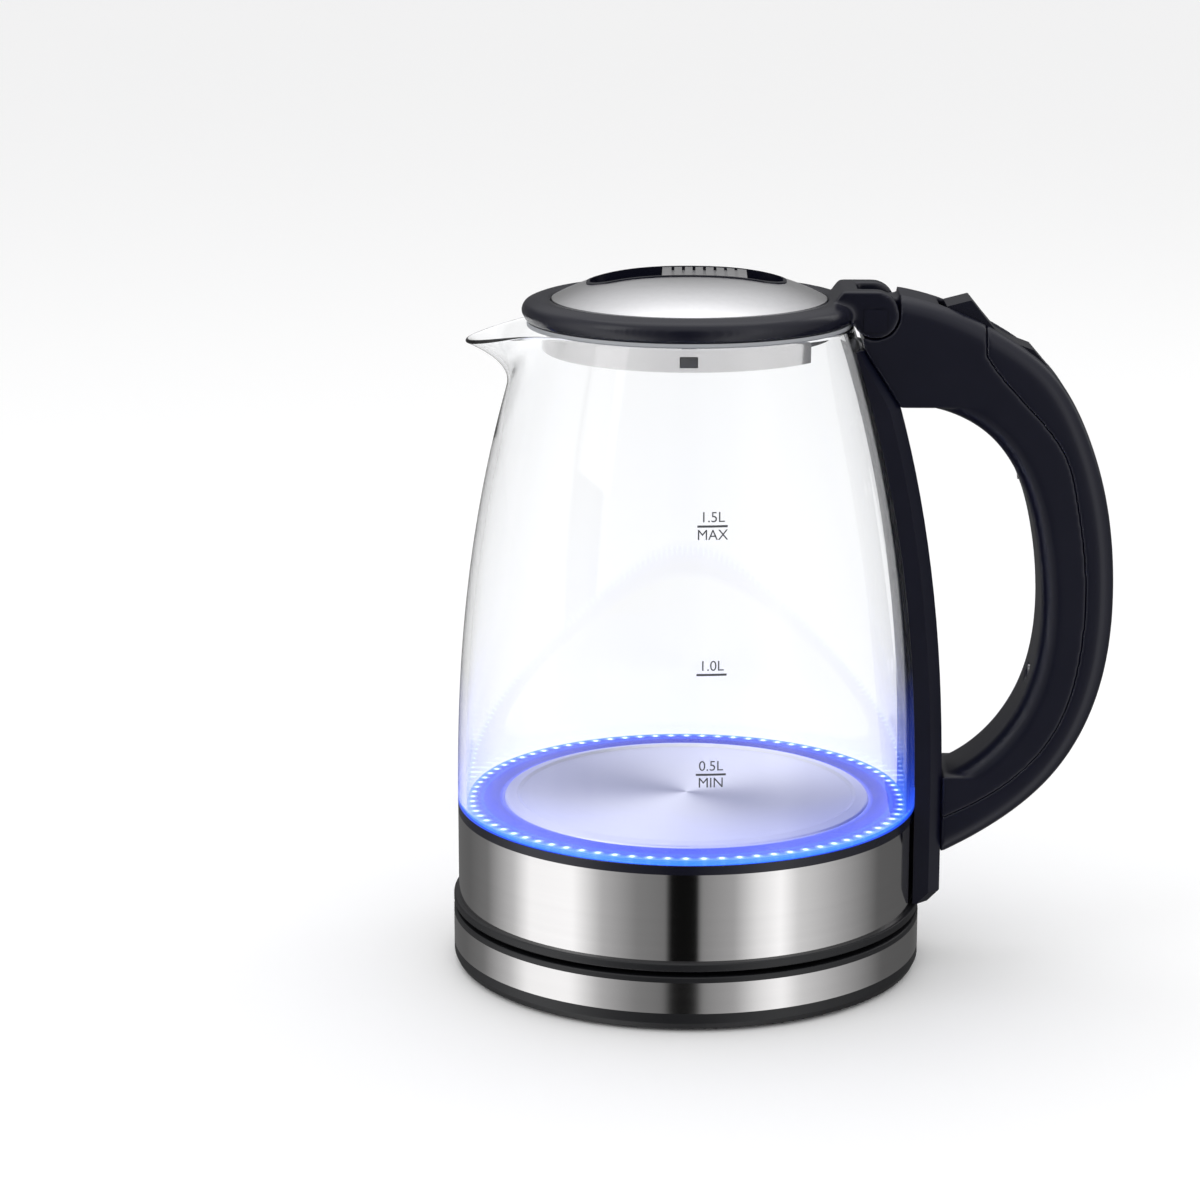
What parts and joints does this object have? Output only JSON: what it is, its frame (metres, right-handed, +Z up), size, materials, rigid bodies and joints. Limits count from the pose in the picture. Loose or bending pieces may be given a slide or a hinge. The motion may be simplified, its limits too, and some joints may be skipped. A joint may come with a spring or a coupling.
{
  "type": "electric kettle",
  "caption": "Glass electric kettle with steel skirt, hinged lid, black loop handle with rocker switch, lit heating plate and round power base with cord.",
  "frame": {"origin": "on the jug's axis, at the surface that the power base stands on", "axes": "+Z up, +X towards the handle, -X towards the spout, -Y towards the level marks"},
  "size_m": [0.2224, 0.3035, 0.2375],
  "materials": {
    "base_plastic": "fine spark-eroded matt",
    "black_plastic": "satin to semi-gloss",
    "grip_plastic": "soft satin",
    "rubber": "matt",
    "brushed_steel": "brushed round",
    "polished_steel": "mirror polished",
    "plate_steel": "fine brushed",
    "lid_steel": "satin",
    "glass": "clear",
    "clear_plastic": "clear, lit blue",
    "silicone": "translucent",
    "aluminium": "cast",
    "brass": "plated",
    "screw_steel": "zinc plated",
    "screw_copper": "copper coloured plating",
    "white_plastic": "plain",
    "board": "printed circuit board",
    "led": "lit lamp",
    "cable": "smooth PVC"
  },
  "bodies": {
    "power_base": {"base_bottom_cover": "base_plastic", "base_foot_ring": "rubber", "base_steel_band": "brushed_steel", "base_top_cover": "base_plastic", "base_screws": "screw_steel", "connector_tower": "black_plastic", "base_contacts": "brass", "terminal_block": "white_plastic", "cord_strain_relief": "cable", "power_cord": "cable", "power_cord_end": "cable", "power_cord_coil": "cable", "plug_body": "cable", "plug_pins": "screw_steel"},
    "coupling": {"contact_rings": "brass"},
    "jug": {"jug_bottom_cover": "base_plastic", "cover_screws": "screw_copper", "control_screws": "screw_steel", "steel_skirt": "polished_steel", "support_ring": "white_plastic", "glass_seal": "silicone", "skirt_trim_ring": "black_plastic", "heating_plate": "plate_steel", "heat_diffuser": "aluminium", "heating_element": "aluminium", "inlet_housing": "black_plastic", "thermostat_control": "white_plastic", "led_board": "board", "leds": "led", "light_guide_ring": "clear_plastic", "glass_body": "glass", "handle_body": "grip_plastic", "handle_cover": "grip_plastic", "grip_screws": "screw_steel", "switch_pin": "screw_steel", "steam_thermostat": "white_plastic", "handle_strap": "grip_plastic", "strap_pad": "silicone", "strap_screws": "screw_steel", "hinge_pin": "screw_steel"},
    "paddle": {"switch_paddle": "black_plastic"},
    "lid": {"lid_ring": "black_plastic", "hinge_caps": "black_plastic", "lid_top_plate": "lid_steel", "lid_pan": "black_plastic", "lid_base": "black_plastic", "lid_screws": "screw_steel", "lid_collar": "brushed_steel", "lid_inner_plate": "brushed_steel", "lid_seal": "silicone"},
    "slider": {"lid_slider": "lid_steel"},
    "front_latch": {"latch_front": "black_plastic"},
    "rear_latch": {"latch_rear": "black_plastic"}
  },
  "joints": [
    {"name": "jug_lift", "type": "slide", "parent": "power_base", "child": "coupling", "axis": [0, 0, 1], "range_m": [0, 0.06]},
    {"name": "jug_swivel", "type": "hinge", "parent": "coupling", "child": "jug", "pos_m": [0, 0, 0.05], "axis": [0, 0, 1], "continuous": true},
    {"name": "lid_hinge", "type": "hinge", "parent": "jug", "child": "lid", "pos_m": [0.061, 0, 0.225], "axis": [0, 1, 0], "range_deg": [0, 80]},
    {"name": "slider_slide", "type": "slide", "parent": "lid", "child": "slider", "axis": [1, 0, 0], "range_m": [0, 0.006], "stiffness_N_per_m": 200, "springref_m": -0.006},
    {"name": "front_latch_slide", "type": "slide", "parent": "lid", "child": "front_latch", "axis": [0, 1, 0], "range_m": [0, 0.003]},
    {"name": "rear_latch_slide", "type": "slide", "parent": "lid", "child": "rear_latch", "axis": [0, -1, 0], "range_m": [0, 0.003]},
    {"name": "switch_rock", "type": "hinge", "parent": "jug", "child": "paddle", "pos_m": [0.10191, 0, 0.21167], "axis": [0, -1, 0], "range_deg": [0, 7]}
  ],
  "couplings": [
    {"joint": "front_latch_slide", "follows": "slider_slide", "ratio": 0.5},
    {"joint": "rear_latch_slide", "follows": "slider_slide", "ratio": 0.5}
  ]
}
